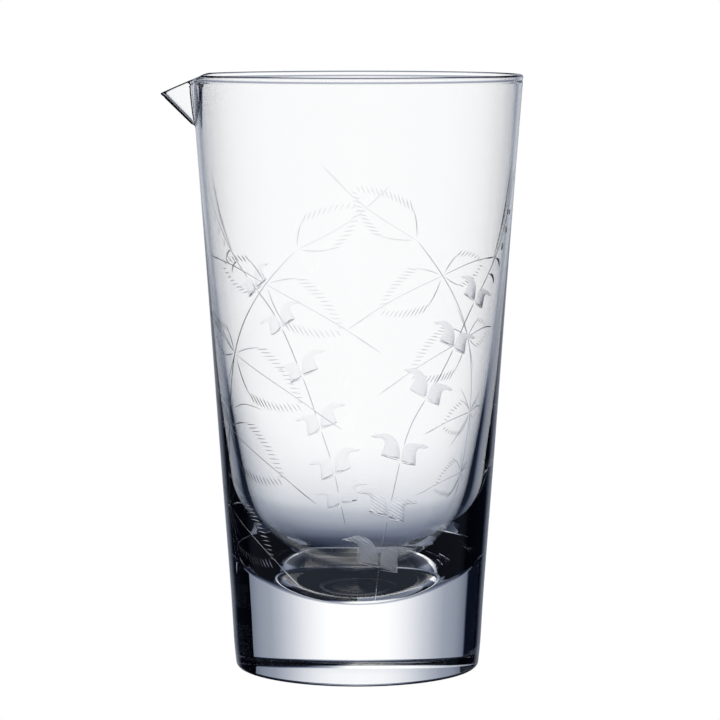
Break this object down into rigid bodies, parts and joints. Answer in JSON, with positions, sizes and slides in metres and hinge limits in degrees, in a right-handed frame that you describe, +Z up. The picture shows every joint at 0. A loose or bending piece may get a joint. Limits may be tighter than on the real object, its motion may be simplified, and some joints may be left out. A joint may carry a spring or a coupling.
{
  "type": "mixing glass",
  "caption": "Tall tapered cocktail mixing glass in clear crystal, with a thick base, round bowl floor, smooth round rim and a small pulled pouring spout.",
  "frame": {"origin": "centre of the resting face, on the glass's axis", "axes": "+Z up along the glass's axis; the spout points along -X; the front of the engraving faces -Y"},
  "size_m": [0.0939, 0.086, 0.155],
  "materials": {
    "clear_crystal": "polished clear crystal with wheel-cut engraving"
  },
  "bodies": {
    "root": {"heavy_base": "clear_crystal", "tapered_wall": "clear_crystal", "rim": "clear_crystal", "pouring_spout": "clear_crystal"}
  },
  "joints": []
}
